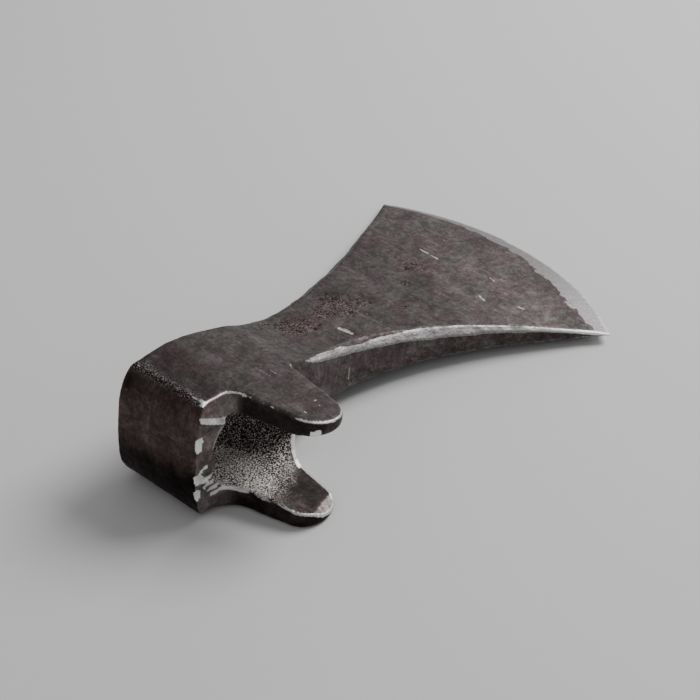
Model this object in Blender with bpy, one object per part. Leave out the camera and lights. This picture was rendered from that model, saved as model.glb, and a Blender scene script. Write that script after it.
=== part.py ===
"""A forged iron axe head: crowned poll, oval eye with two ears, narrow neck and flared blade.

The head is drawn in its own frame first: X runs from the poll face to the cutting edge, the ears
point to minus Y, and Z is the thickness, with the middle plane at zero. The finished head then
lies on one cheek, tipped until the middle of its cutting edge touches the ground too.
"""

import math

import bmesh
import bpy
import numpy as np

NAME = "axe_head"

# Overall sizes, in metres
HEAD_LENGTH = 0.2008
POLL_THICKNESS = 0.0456
POLL_WIDTH = 0.0360
POLL_CROWN_NEAR = 0.0030
POLL_CROWN_FAR = 0.0056

# Eye, the socket for the haft
POLL_WALL = 0.0054
EYE_LENGTH = 0.0378
EYE_HEIGHT = 0.0316
EYE_SWELL = 0.0024

# Ears, one on each cheek
EAR_LENGTH = 0.0318
EAR_ROOT_START = 0.0152
EAR_ROOT_END = 0.0430
EAR_TIP_RADIUS = 0.0104
EAR_TIP_CENTRE = 0.0285
NOTCH_RADIUS_UPPER = 0.0036
NOTCH_RADIUS_LOWER = 0.0116

# Gap between the ears
GAP_DEPTH = 0.0024
GAP_RADIUS = 0.0090
GAP_FLARE = 0.082

# Cheeks, shoulders and neck
CHEEK_FLAT = 0.0180
SHOULDER_THICKNESS = 0.0388
SHOULDER_PLACE = 0.0450
NECK_THICKNESS = 0.0224
NECK_PLACE = 0.0740
NECK_SIDE = 0.0050
NECK_FILLET = 0.0042
WEB_BULGE = 0.0050
SIDE_CHAMFER = 0.0034
SMALL_CHAMFER = 0.0009

# Blade and cutting edge
EDGE_SPAN = 0.1262
EDGE_RADIUS = 0.1054
EDGE_MIDDLE = 0.0244
EDGE_THICKNESS = 0.0005
BEVEL_WIDTH = 0.0095
BEVEL_THICKNESS = 0.0027
TOE_RISE = 0.0551
TOE_CURVE = 1.5
HEEL_CURVE = 1.75

# How far a cutter runs clear of the metal
CLEAR = 0.0120

# Mesh steps
EYE_SIDES = 56
EDGE_STEPS = 36
SIDE_STEPS = 44
FILLET_STEPS = 5
TIP_STEPS = 14
POLL_STEPS = 8
BLADE_STATIONS = 26
SHOULDER_STATIONS = 8
WALL_SHARES = (0.0, 0.35, 0.6, 0.8, 0.92, 1.0)
CROWN_POWER = 3.2

IRON_COLOUR = (0.060, 0.050, 0.046, 1.0)
IRON_ROUGHNESS = 0.5

HEEL_DROP = EDGE_SPAN - TOE_RISE
EYE_CENTRE = POLL_WALL + EYE_LENGTH / 2
FILLET_END = EAR_ROOT_END + NECK_FILLET


def clear_scene():
    for obj in list(bpy.data.objects):
        bpy.data.objects.remove(obj, do_unlink=True)


def new_collection(name):
    made = bpy.data.collections.new(name)
    bpy.context.scene.collection.children.link(made)
    return made


def smooth_step(value, start, end):
    share = min(max((value - start) / (end - start), 0.0), 1.0)
    return share * share * (3 - 2 * share)


def edge_sag(y):
    """How far the cutting edge falls back from its foremost point."""
    reach = min(abs(y - EDGE_MIDDLE), 0.98 * EDGE_RADIUS)
    return EDGE_RADIUS - math.sqrt(EDGE_RADIUS**2 - reach**2)


def edge_point(y):
    return (HEAD_LENGTH - edge_sag(y), y)


TOE = edge_point(EDGE_MIDDLE + TOE_RISE)
HEEL = edge_point(EDGE_MIDDLE - HEEL_DROP)


def station_x(place, y):
    """A line of equal thickness: straight across the eye and neck, then bending more and more
    along the blade, until it is the cutting edge itself."""
    return place - edge_sag(y) * smooth_step(place, NECK_PLACE, HEAD_LENGTH)


def station_through(x, y):
    """The station that passes through a point of the plan."""
    low, high = x, x + edge_sag(y)
    for _ in range(40):
        middle = (low + high) / 2
        if station_x(middle, y) < x:
            low = middle
        else:
            high = middle
    return min(high, HEAD_LENGTH)


def half_thickness(place):
    """Half the thickness of the metal at a station."""
    profile = (
        (CHEEK_FLAT, POLL_THICKNESS),
        (SHOULDER_PLACE, SHOULDER_THICKNESS),
        (NECK_PLACE, NECK_THICKNESS),
        (HEAD_LENGTH - BEVEL_WIDTH, BEVEL_THICKNESS),
        (HEAD_LENGTH, EDGE_THICKNESS),
    )
    if place <= CHEEK_FLAT:
        return POLL_THICKNESS / 2
    for (x0, t0), (x1, t1) in zip(profile, profile[1:]):
        if place <= x1:
            share = (place - x0) / (x1 - x0)
            if x0 == SHOULDER_PLACE:
                share = 0.3 * share + 0.7 * (1 - (1 - share) ** 2)
            return (t0 + (t1 - t0) * share) / 2
    return EDGE_THICKNESS / 2


def arc(centre, radius, start, end, steps):
    """Points on an arc, angles in degrees, both ends included."""
    turns = np.radians(np.linspace(start, end, steps + 1))
    return [(centre[0] + radius * math.cos(a), centre[1] + radius * math.sin(a)) for a in turns]


def between(first, last, steps):
    """Points on the straight line between two points, without its ends."""
    shares = [step / steps for step in range(1, steps)]
    return [tuple(a + (b - a) * s for a, b in zip(first, last)) for s in shares]


def ear_outline(radius):
    """Mouth face, notch, ear and the fillet into the neck, from the poll towards the blade."""
    notch = arc((EAR_ROOT_START - radius, -radius), radius, 90, 0, FILLET_STEPS)
    tip = arc((EAR_TIP_CENTRE, EAR_TIP_RADIUS - EAR_LENGTH), EAR_TIP_RADIUS, 185, 352, TIP_STEPS)
    root = arc((FILLET_END, NECK_SIDE - 0.3 * NECK_FILLET - NECK_FILLET), NECK_FILLET, 180, 90, FILLET_STEPS)
    return notch + between(notch[-1], tip[0], 3) + tip + between(tip[-1], root[0], 6) + root


def heel_side():
    """The near side of neck and blade, from the fillet to the heel."""
    hollow = NECK_PLACE - NECK_FILLET
    points = []
    for share in np.linspace(0, 1, SIDE_STEPS + 1)[1:]:
        x = FILLET_END + (HEEL[0] - FILLET_END) * share
        rise = 0.3 * NECK_FILLET * (1 - smooth_step(x, FILLET_END, hollow))
        run = max(x - hollow, 0.0) / (HEEL[0] - hollow)
        points.append((x, NECK_SIDE - rise - (NECK_SIDE - HEEL[1]) * run**HEEL_CURVE))
    return points


def toe_side():
    """The far side, from the toe back to the poll."""
    points = []
    for share in np.linspace(1, 0, SIDE_STEPS + 8):
        x = TOE[0] * share
        run = max(x - SHOULDER_PLACE, 0.0) / (TOE[0] - SHOULDER_PLACE)
        swell = smooth_step(x, 0.0, EYE_CENTRE) * (1 - smooth_step(x, EYE_CENTRE, 2 * EYE_CENTRE))
        points.append((x, POLL_WIDTH + EYE_SWELL * swell + (TOE[1] - POLL_WIDTH) * run**TOE_CURVE))
    return points


def past_edge(inner, corner):
    """A point on the line of a blade side, carried past the corner of the cutting edge."""
    away = np.subtract(corner, inner)
    return tuple(np.add(corner, away * CLEAR / np.linalg.norm(away)))


def plan_outline(level):
    """The whole plan at one level, from minus 1 on the lower cheek to 1 on the upper cheek,
    anticlockwise from the poll's near corner. Past the cutting edge it runs clear of the metal,
    because the edge is shaped by the blank."""
    near, far = heel_side(), toe_side()
    heel_out, toe_out = past_edge(near[-3], near[-1]), past_edge(far[2], far[0])
    front = HEAD_LENGTH + CLEAR
    outside = [heel_out, (front, heel_out[1]), (front, toe_out[1]), toe_out]
    poll = between(far[-1], (0.0, 0.0), POLL_STEPS)
    lower = smooth_step(-level, 0.0, 1.0)
    radius = NOTCH_RADIUS_UPPER + (NOTCH_RADIUS_LOWER - NOTCH_RADIUS_UPPER) * lower
    return [(0.0, 0.0)] + ear_outline(radius) + near + outside + far + poll


def outward(points):
    """The direction out of the metal at each outline point, long enough to mitre a corner."""
    at = np.array(points)
    ahead = np.roll(at, -1, axis=0) - at
    ahead /= np.linalg.norm(ahead, axis=1)[:, None]
    side = np.stack([ahead[:, 1], -ahead[:, 0]], axis=1)
    total = side + np.roll(side, 1, axis=0)
    total /= np.linalg.norm(total, axis=1)[:, None]
    return total / np.maximum((total * side).sum(axis=1), 0.6)[:, None]


def side_chamfer(x, y, half):
    """Wide chamfer along the neck and blade, dying away at both ends, and a small one elsewhere."""
    if x < FILLET_END:
        return SMALL_CHAMFER
    long_run = smooth_step(x, SHOULDER_PLACE, 0.5 * (NECK_PLACE + HEAD_LENGTH) - CLEAR)
    end = HEEL[0] if y < EDGE_MIDDLE else TOE[0]
    fade = 1 - smooth_step(x, 0.62 * end, end)
    wide = SMALL_CHAMFER + (SIDE_CHAMFER - SMALL_CHAMFER) * long_run * fade
    return min(wide, 0.6 * half)


def bulge_at(x, y):
    """How far the wall stands out at the middle plane: the crown of the poll, and the web that
    closes the eye between the ears."""
    if x <= 0.0:
        return (-(POLL_CROWN_NEAR + (POLL_CROWN_FAR - POLL_CROWN_NEAR) * y / POLL_WIDTH), 0.0)
    if y > EDGE_MIDDLE or x < EAR_TIP_CENTRE:
        return (0.0, 0.0)
    along = 1 - smooth_step(x, EAR_ROOT_END, NECK_PLACE)
    down = smooth_step(y, -0.45 * EAR_LENGTH, NECK_SIDE)
    return (0.25 * WEB_BULGE * along * down, -WEB_BULGE * along * down)


def wall_ring(level):
    """One ring of the walls: the outline at a level between the cheeks, crowned and bulged."""
    ring = []
    for x, y in plan_outline(level):
        half = half_thickness(station_through(x, y))
        bulge = bulge_at(x, y)
        out = 1 - abs(level) ** (CROWN_POWER if x <= 0.0 else 2.0)
        height = level * (half - side_chamfer(x, y, half))
        ring.append((x + bulge[0] * out, y + bulge[1] * out, height))
    return ring


def chamfer_rings(level):
    """Two rings past a cheek: along the slope of the chamfers, then straight up or down."""
    outline = plan_outline(level)
    over = CLEAR / 8
    slope, cap = [], []
    for (x, y), normal in zip(outline, outward(outline)):
        half = half_thickness(station_through(x, y))
        inward = side_chamfer(x, y, half) + over
        place = (x - normal[0] * inward, y - normal[1] * inward)
        slope.append((*place, level * (half + over)))
        cap.append((*place, level * (POLL_THICKNESS / 2 + CLEAR)))
    return slope, cap


def object_from(bm, name, home):
    bmesh.ops.recalc_face_normals(bm, faces=bm.faces)
    mesh = bpy.data.meshes.new(name)
    bm.to_mesh(mesh)
    bm.free()
    obj = bpy.data.objects.new(name, mesh)
    home.objects.link(obj)
    return obj


def as_cutter(obj):
    obj.hide_render = True
    obj.display_type = "WIRE"
    return obj


def make_die(home):
    """The plan outline as a tall solid, whose walls carry the crown, the web and the chamfers."""
    slope_up, cap_up = chamfer_rings(1)
    slope_down, cap_down = chamfer_rings(-1)
    levels = [-share for share in reversed(WALL_SHARES[1:])] + list(WALL_SHARES)
    walls = [wall_ring(level) for level in levels]
    bm = bmesh.new()
    rings = [[bm.verts.new(p) for p in ring] for ring in (cap_down, slope_down, *walls, slope_up, cap_up)]
    for lower, upper in zip(rings, rings[1:]):
        for step in range(len(lower)):
            after = (step + 1) % len(lower)
            bm.faces.new((lower[step], lower[after], upper[after], upper[step]))
    bm.faces.new(list(reversed(rings[0])))
    bm.faces.new(rings[-1])
    return as_cutter(object_from(bm, "plan_die", home))


def station_places():
    shoulder = np.linspace(SHOULDER_PLACE, NECK_PLACE, SHOULDER_STATIONS)
    blade = np.linspace(NECK_PLACE, HEAD_LENGTH - BEVEL_WIDTH, BLADE_STATIONS)
    bevel = [HEAD_LENGTH - BEVEL_WIDTH / 2, HEAD_LENGTH]
    return [-CLEAR, CHEEK_FLAT, *shoulder, *blade[1:], *bevel]


def make_blank(home):
    """The forged blank: the thickness everywhere, wider than the plan, with the real cutting edge."""
    heights = np.linspace(HEEL[1] - CLEAR, TOE[1] + CLEAR, EDGE_STEPS + 1)
    bm = bmesh.new()
    faces_up, faces_down = [], []
    for place in station_places():
        half = half_thickness(place)
        faces_up.append([bm.verts.new((station_x(place, y), y, half)) for y in heights])
        faces_down.append([bm.verts.new((station_x(place, y), y, -half)) for y in heights])
    last = len(heights) - 1
    for sheet in (faces_up, faces_down):
        for here, after in zip(sheet, sheet[1:]):
            for step in range(last):
                bm.faces.new((here[step], after[step], after[step + 1], here[step + 1]))
    for end in (0, -1):
        for step in range(last):
            up, down = faces_up[end], faces_down[end]
            bm.faces.new((up[step], up[step + 1], down[step + 1], down[step]))
    for side in (0, last):
        for row in range(len(faces_up) - 1):
            up, down = faces_up, faces_down
            bm.faces.new((up[row][side], up[row + 1][side], down[row + 1][side], down[row][side]))
    return object_from(bm, NAME, home)


def make_eye_cutter(home):
    """The oval eye, right through from the mouth between the ears to the far side."""
    bm = bmesh.new()
    radius = EYE_LENGTH / 2
    depth = 2 * (EAR_LENGTH + POLL_WIDTH + CLEAR)
    bmesh.ops.create_cone(bm, cap_ends=True, segments=EYE_SIDES, radius1=radius, radius2=radius, depth=depth)
    cutter = object_from(bm, "eye_cutter", home)
    for vertex in cutter.data.vertices:
        x, y, z = vertex.co
        vertex.co = (x, z, -y * EYE_HEIGHT / EYE_LENGTH)
    cutter.location = (EYE_CENTRE, 0.0, 0.0)
    return as_cutter(cutter)


def make_gap_cutter(home):
    """The gap between the ears on the blade side, with a round-cornered bed on the web."""
    curve = bpy.data.curves.new("gap_outline", "CURVE")
    curve.dimensions = "2D"
    curve.fill_mode = "BOTH"
    start, end = EYE_CENTRE - CLEAR / 3, NECK_PLACE
    curve.extrude = (end - start) / 2
    half = EYE_HEIGHT / 2
    bed, open_end = -GAP_DEPTH, -(EAR_LENGTH + CLEAR)
    outline = [(-half, open_end), (half, open_end)]
    outline += arc((half - GAP_RADIUS, bed - GAP_RADIUS), GAP_RADIUS, 0, 90, 2 * FILLET_STEPS)
    outline += arc((GAP_RADIUS - half, bed - GAP_RADIUS), GAP_RADIUS, 90, 180, 2 * FILLET_STEPS)
    spline = curve.splines.new("POLY")
    spline.points.add(len(outline) - 1)
    spline.use_cyclic_u = True
    for point, (z, y) in zip(spline.points, outline):
        point.co = (z, y, 0.0, 1.0)
    drawn = bpy.data.objects.new("gap_outline", curve)
    home.objects.link(drawn)
    bpy.context.view_layer.update()
    evaluated = drawn.evaluated_get(bpy.context.evaluated_depsgraph_get())
    bm = bmesh.new()
    mesh = bpy.data.meshes.new_from_object(evaluated)
    bm.from_mesh(mesh)
    bpy.data.meshes.remove(mesh)
    bmesh.ops.remove_doubles(bm, verts=bm.verts, dist=1e-6)
    for vertex in bm.verts:
        z, y, x = vertex.co
        x += (start + end) / 2
        vertex.co = (x, y, z * (1 + GAP_FLARE * (x - EYE_CENTRE) / half))
    bpy.data.objects.remove(drawn, do_unlink=True)
    bpy.data.curves.remove(curve)
    return as_cutter(object_from(bm, "gap_cutter", home))


def add_boolean(obj, cutter, operation):
    modifier = obj.modifiers.new(cutter.name, "BOOLEAN")
    modifier.operation = operation
    modifier.object = cutter
    modifier.solver = "EXACT"


def iron():
    material = bpy.data.materials.new("dark_forged_iron")
    material.use_nodes = True
    shader = material.node_tree.nodes["Principled BSDF"]
    shader.inputs["Base Color"].default_value = IRON_COLOUR
    shader.inputs["Metallic"].default_value = 1.0
    shader.inputs["Roughness"].default_value = IRON_ROUGHNESS
    return material


def apply_modifiers(obj):
    """Keeps the finished shape as the object's own mesh."""
    graph = bpy.context.evaluated_depsgraph_get()
    finished = bpy.data.meshes.new_from_object(obj.evaluated_get(graph))
    finished.name = obj.name
    obj.modifiers.clear()
    obj.data = finished


def lay_down(obj):
    """Tips the head blade down until its edge touches, and puts the origin under its middle."""
    reach = HEAD_LENGTH - CHEEK_FLAT
    tip = math.atan2((POLL_THICKNESS - EDGE_THICKNESS) / 2, reach)
    points = np.array([vertex.co[:] for vertex in obj.data.vertices])
    turn = np.array([
        [math.cos(tip), 0.0, math.sin(tip)],
        [0.0, 1.0, 0.0],
        [-math.sin(tip), 0.0, math.cos(tip)],
    ])
    lying = points @ turn.T
    low, high = lying.min(axis=0), lying.max(axis=0)
    obj.rotation_euler = (0.0, tip, 0.0)
    obj.location = (-(low[0] + high[0]) / 2, -(low[1] + high[1]) / 2, -low[2])


def main():
    clear_scene()
    parts = new_collection(NAME)
    cutters = new_collection("cutters")
    head = make_blank(parts)
    add_boolean(head, make_die(cutters), "INTERSECT")
    add_boolean(head, make_eye_cutter(cutters), "DIFFERENCE")
    add_boolean(head, make_gap_cutter(cutters), "DIFFERENCE")
    bpy.context.view_layer.update()
    apply_modifiers(head)
    head.data.materials.clear()
    head.data.materials.append(iron())
    lay_down(head)


main()
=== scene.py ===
"""The looks of a forged iron axe head: one detailed mesh in the place of the plain solid, its
patinated iron, a pale floor, soft light and the camera.

The head is drawn in its own frame, in millimetres: X from the poll face to the cutting edge, the
ears towards minus Y, Z through the thickness. It is then laid down exactly where the solid lies.
"""

import itertools
import math

import bpy
import numpy as np
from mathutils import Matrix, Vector


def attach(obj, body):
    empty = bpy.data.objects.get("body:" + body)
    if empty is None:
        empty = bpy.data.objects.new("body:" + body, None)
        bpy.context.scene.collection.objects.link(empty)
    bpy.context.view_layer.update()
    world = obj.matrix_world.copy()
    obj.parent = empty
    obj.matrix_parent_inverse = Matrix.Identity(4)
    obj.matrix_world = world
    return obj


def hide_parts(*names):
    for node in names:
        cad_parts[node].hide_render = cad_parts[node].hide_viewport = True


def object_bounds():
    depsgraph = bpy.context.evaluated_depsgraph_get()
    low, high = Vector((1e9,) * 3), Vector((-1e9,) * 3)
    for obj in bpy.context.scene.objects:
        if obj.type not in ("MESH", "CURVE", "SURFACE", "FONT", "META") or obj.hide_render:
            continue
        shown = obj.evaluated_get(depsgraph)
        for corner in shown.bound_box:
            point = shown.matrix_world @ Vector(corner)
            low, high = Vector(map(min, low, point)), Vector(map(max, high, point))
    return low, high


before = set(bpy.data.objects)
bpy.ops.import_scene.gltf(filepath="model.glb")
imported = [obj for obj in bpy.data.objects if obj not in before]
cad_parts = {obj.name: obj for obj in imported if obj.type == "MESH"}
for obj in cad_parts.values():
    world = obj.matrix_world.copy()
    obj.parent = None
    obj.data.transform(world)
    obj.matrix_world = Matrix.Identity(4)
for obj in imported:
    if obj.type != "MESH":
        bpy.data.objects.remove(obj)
cad_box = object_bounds()

MM_PER_METRE = 1000.0

# Sizes of the head, in millimetres
HEAD_LENGTH = 200.8
POLL_THICKNESS = 45.6
POLL_WIDTH = 36.0
POLL_CROWN_NEAR = 3.0
POLL_CROWN_FAR = 6.1
CROWN_POWER = 3.8
POLL_WALL = 5.4
EYE_LENGTH = 37.8
EYE_HEIGHT = 31.6
EYE_SWELL = 2.4
EAR_LENGTH = 31.8
EAR_ROOT_START = 15.2
EAR_ROOT_END = 43.0
EAR_TIP_RADIUS = 10.4
EAR_TIP_CENTRE = 28.5
NOTCH_RADIUS_UPPER = 3.6
NOTCH_RADIUS_LOWER = 11.6
GAP_DEPTH = 2.4
GAP_RADIUS = 9.0
GAP_FLARE = 0.082
CHEEK_FLAT = 18.0
SHOULDER_THICKNESS = 38.8
SHOULDER_PLACE = 45.0
NECK_THICKNESS = 22.4
NECK_PLACE = 74.0
NECK_SIDE = 5.0
NECK_FILLET = 4.2
WEB_BULGE = 5.0
SIDE_CHAMFER = 3.4
SMALL_CHAMFER = 0.9
CHAMFER_WAVE = 0.3
EDGE_RADIUS = 105.4
EDGE_MIDDLE = 24.4
EDGE_THICKNESS = 0.5
EDGE_CHIP = 0.45
BEVEL_WIDTH = 9.5
BEVEL_THICKNESS = 2.7
TOE_RISE = 55.1
HEEL_DROP = 71.1
TOE_CURVE = 1.5
HEEL_CURVE = 1.75
CLEAR = 12.0

# The forging lap across the mouth face: its line at the poll, how far it steps in
LAP_START = (-1.3, 16.4)
LAP_FALL = 0.62
LAP_CURVE = 0.012
LAP_STEP = 2.9
LAP_DEPTH = 2.0

# The slanted flat inside the tip of the lower ear: a place on its line, the line's slope in plan
# and how steeply it rises
TIP_PLACE = (26.2, -29.2)
TIP_SLOPE = 0.312
TIP_STEEPNESS = 0.5

# How round it is where two surfaces meet
POLL_ROUND = 0.9
EDGE_ROUND = 0.15
WORN_ROUND = 0.7
GAP_ROUND = 2.5
MOUTH_ROUND = 0.6
MOUTH_BEVEL = 0.5
TIP_ROUND = 0.2

EYE_CENTRE = POLL_WALL + EYE_LENGTH / 2
FILLET_END = EAR_ROOT_END + NECK_FILLET

# Where the head's own origin lies in the row frame, in metres
REST_PLACE = (-0.09650815, -0.01640285, 0.02483223)

# How far the mesh keeps within the box of the solid, in metres
BOX_MARGIN = 0.000003

# Mesh steps: the spacing in plan, and the number of layers through the thickness
MESH_STEP = 0.742
LAYERS = 62

# How many times the net is evened out
SETTLE_TURNS = 4

# Tables over the plan
TABLE_STEP = 0.5
TABLE_X = np.arange(-16.0, 216.0, TABLE_STEP)
TABLE_Y = np.arange(-66.0, 98.0, TABLE_STEP)


# Numbers and noise

def smooth_step(value, start, end):
    share = np.clip((value - start) / (end - start), 0.0, 1.0)
    return share * share * (3 - 2 * share)


def soft_max(first, second, radius):
    """The larger of two distances, rounded where they meet."""
    overlap = np.maximum(radius - np.abs(first - second), 0.0)
    return np.maximum(first, second) + overlap**2 / (4 * radius)


def soft_min(first, second, radius):
    return -soft_max(-first, -second, radius)


def scatter(i, j, k, seed):
    """A repeatable number from 0 to 1 for each whole-numbered place."""
    mixed = (i * 73856093) ^ (j * 19349663) ^ (k * 83492791) ^ (seed * 40503211)
    mixed = mixed & 0xFFFFFFFF
    mixed = ((mixed ^ (mixed >> 15)) * 1274126177) & 0xFFFFFFFF
    mixed = ((mixed ^ (mixed >> 13)) * 1103515245) & 0xFFFFFFFF
    return ((mixed ^ (mixed >> 16)) & 0xFFFFFF) / 0xFFFFFF


def noise(points, size, seed):
    """Smooth noise from -1 to 1, with bumps about this size."""
    at = points / size
    low = np.floor(at).astype(np.int64)
    part = at - low
    part = part**3 * (part * (part * 6 - 15) + 10)
    total = np.zeros(len(points))
    for corner in itertools.product((0, 1), repeat=3):
        weight = np.prod(np.where(corner, part, 1 - part), axis=1)
        total += weight * scatter(*(low + corner).T, seed)
    return 2 * total - 1


def rough_noise(points, size, seed, octaves=3):
    """Noise with finer and finer bumps on it, still about -1 to 1."""
    total, weight, strength = 0.0, 0.0, 1.0
    for octave in range(octaves):
        total = total + strength * noise(points, size / 2**octave, seed + 17 * octave)
        weight += strength
        strength *= 0.55
    return 1.5 * total / weight


def cells(points, size, seed):
    """Distance to the nearest of many scattered spots, in spot spacings, and that spot's number."""
    at = points / size
    low = np.floor(at).astype(np.int64)
    nearest = np.full(len(points), 9.0)
    number = np.zeros(len(points))
    for shift in itertools.product((-1, 0, 1), repeat=3):
        home = low + shift
        spot = home + np.stack([scatter(*home.T, seed + axis) for axis in range(3)], axis=1)
        distance = np.linalg.norm(at - spot, axis=1)
        closer = distance < nearest
        nearest = np.where(closer, distance, nearest)
        number = np.where(closer, scatter(*home.T, seed + 3), number)
    return nearest, number


# The plan of the head

def edge_sag(y):
    """How far the cutting edge falls back from its foremost point."""
    reach = np.minimum(np.abs(y - EDGE_MIDDLE), 0.98 * EDGE_RADIUS)
    return EDGE_RADIUS - np.sqrt(EDGE_RADIUS**2 - reach**2)


def edge_point(y):
    return (HEAD_LENGTH - float(edge_sag(y)), y)


TOE = edge_point(EDGE_MIDDLE + TOE_RISE)
HEEL = edge_point(EDGE_MIDDLE - HEEL_DROP)


def arc(centre, radius, start, end, steps):
    turns = np.radians(np.linspace(start, end, steps + 1))
    return [(centre[0] + radius * math.cos(a), centre[1] + radius * math.sin(a)) for a in turns]


def ear_outline(radius):
    """Mouth face, notch, ear and the fillet into the neck, from the poll towards the blade."""
    notch = arc((EAR_ROOT_START - radius, -radius), radius, 90, 0, 16)
    tip = arc((EAR_TIP_CENTRE, EAR_TIP_RADIUS - EAR_LENGTH), EAR_TIP_RADIUS, 185, 352, 48)
    root = arc((FILLET_END, NECK_SIDE - 1.3 * NECK_FILLET), NECK_FILLET, 180, 90, 12)
    return notch + tip + root


def heel_side():
    hollow = NECK_PLACE - NECK_FILLET
    points = []
    for x in np.linspace(FILLET_END, HEEL[0], 90)[1:]:
        rise = 0.3 * NECK_FILLET * (1 - smooth_step(x, FILLET_END, hollow))
        run = max(x - hollow, 0.0) / (HEEL[0] - hollow)
        points.append((x, NECK_SIDE - rise - (NECK_SIDE - HEEL[1]) * run**HEEL_CURVE))
    return points


def toe_side():
    points = []
    for x in np.linspace(TOE[0], 0.0, 110):
        run = max(x - SHOULDER_PLACE, 0.0) / (TOE[0] - SHOULDER_PLACE)
        swell = smooth_step(x, 0.0, EYE_CENTRE) * (1 - smooth_step(x, EYE_CENTRE, 2 * EYE_CENTRE))
        points.append((x, POLL_WIDTH + EYE_SWELL * swell + (TOE[1] - POLL_WIDTH) * run**TOE_CURVE))
    return points


def past_edge(inner, corner):
    """A point on the line of a blade side, carried past the corner of the cutting edge."""
    away = np.subtract(corner, inner)
    return tuple(np.add(corner, away * CLEAR / np.linalg.norm(away)))


def side_outline(notch_radius):
    """Everything but the poll face and the cutting edge, where the outline runs clear."""
    near, far = heel_side(), toe_side()
    heel_out, toe_out = past_edge(near[-4], near[-1]), past_edge(far[3], far[0])
    front = HEAD_LENGTH + CLEAR
    outside = [heel_out, (front, heel_out[1]), (front, toe_out[1]), toe_out]
    back = [(-CLEAR, POLL_WIDTH), (-CLEAR, 0.0)]
    return back + ear_outline(notch_radius) + near + outside + far


def distance_table(outline):
    """Distance from an outline, negative inside, over the whole plan."""
    x, y = np.meshgrid(TABLE_X, TABLE_Y, indexing="ij")
    nearest = np.full(x.shape, np.inf)
    inside = np.zeros(x.shape, bool)
    for (x0, y0), (x1, y1) in zip(outline, outline[1:] + outline[:1]):
        dx, dy = x1 - x0, y1 - y0
        along = np.clip(((x - x0) * dx + (y - y0) * dy) / (dx * dx + dy * dy), 0, 1)
        nearest = np.minimum(nearest, (x - x0 - along * dx) ** 2 + (y - y0 - along * dy) ** 2)
        if dy != 0:
            inside ^= ((y0 > y) != (y1 > y)) & (x < x0 + (y - y0) * dx / dy)
    return np.where(inside, -1.0, 1.0) * np.sqrt(nearest)


def station_table():
    """The line of equal thickness that passes through each place of the plan."""
    x, y = np.meshgrid(TABLE_X, TABLE_Y, indexing="ij")
    sag = edge_sag(y)
    low, high = x.copy(), x + sag
    for _ in range(30):
        middle = (low + high) / 2
        short = middle - sag * smooth_step(middle, NECK_PLACE, HEAD_LENGTH) < x
        low, high = np.where(short, middle, low), np.where(short, high, middle)
    return high


def half_thickness(station):
    """Half the thickness of the metal at a station, with the forged breaks softened."""
    places = np.arange(-40.0, 260.0, 0.25)
    neck_run = np.clip((places - SHOULDER_PLACE) / (NECK_PLACE - SHOULDER_PLACE), 0, 1)
    neck_run = 0.3 * neck_run + 0.7 * (1 - (1 - neck_run) ** 2)
    knots = (CHEEK_FLAT, SHOULDER_PLACE, NECK_PLACE, HEAD_LENGTH - BEVEL_WIDTH, HEAD_LENGTH)
    sizes = (POLL_THICKNESS, SHOULDER_THICKNESS, NECK_THICKNESS, BEVEL_THICKNESS, EDGE_THICKNESS)
    sharp = np.interp(places, knots, sizes)
    neck = SHOULDER_THICKNESS + (NECK_THICKNESS - SHOULDER_THICKNESS) * neck_run
    sharp = np.where((places > SHOULDER_PLACE) & (places < NECK_PLACE), neck, sharp)
    window = np.hanning(29)
    soft = np.convolve(sharp, window / window.sum(), mode="same")
    soft = np.where(places > HEAD_LENGTH - BEVEL_WIDTH - 6, sharp, np.minimum(soft, sharp))
    return np.interp(station, places, soft) / 2


def chamfer_table(half):
    """Wide chamfer along the neck and blade, dying away at both ends, and a small one elsewhere."""
    x, y = np.meshgrid(TABLE_X, TABLE_Y, indexing="ij")
    long_run = smooth_step(x, SHOULDER_PLACE, NECK_PLACE + CLEAR)
    end = np.where(y < EDGE_MIDDLE, HEEL[0], TOE[0])
    fade = 1 - smooth_step(x, 0.62 * end, end)
    wide = SMALL_CHAMFER + (SIDE_CHAMFER - SMALL_CHAMFER) * long_run * fade
    wide = np.where(x < FILLET_END, SMALL_CHAMFER, wide)
    return np.minimum(wide, 0.6 * half)


STATION = station_table()
HALF = half_thickness(STATION)
CHAMFER = chamfer_table(HALF)
UPPER_PLAN = distance_table(side_outline(NOTCH_RADIUS_UPPER))
LOWER_PLAN = distance_table(side_outline(NOTCH_RADIUS_LOWER))


def look_up(table, x, y):
    """A table over the plan, read between its steps."""
    i = np.clip((x - TABLE_X[0]) / TABLE_STEP, 0, len(TABLE_X) - 1.001)
    j = np.clip((y - TABLE_Y[0]) / TABLE_STEP, 0, len(TABLE_Y) - 1.001)
    a, b = i.astype(int), j.astype(int)
    u, v = i - a, j - b
    near = table[a, b] * (1 - u) + table[a + 1, b] * u
    far = table[a, b + 1] * (1 - u) + table[a + 1, b + 1] * u
    return near * (1 - v) + far * v


# Wear along the chamfers and the cutting edge, as tables over the distance along them
ALONG = np.arange(-80.0, 260.0, 0.25)


def worn_line(size, seed):
    line = np.stack([ALONG, np.zeros_like(ALONG), np.zeros_like(ALONG)], axis=1)
    return rough_noise(line, size, seed, 3)


CHAMFER_WAVES = [worn_line(8.0, seed) for seed in (5, 6, 7, 8)]
EDGE_CHIPS = worn_line(4.5, 21)


# The solid, as distances from its surfaces, negative in the metal

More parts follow.
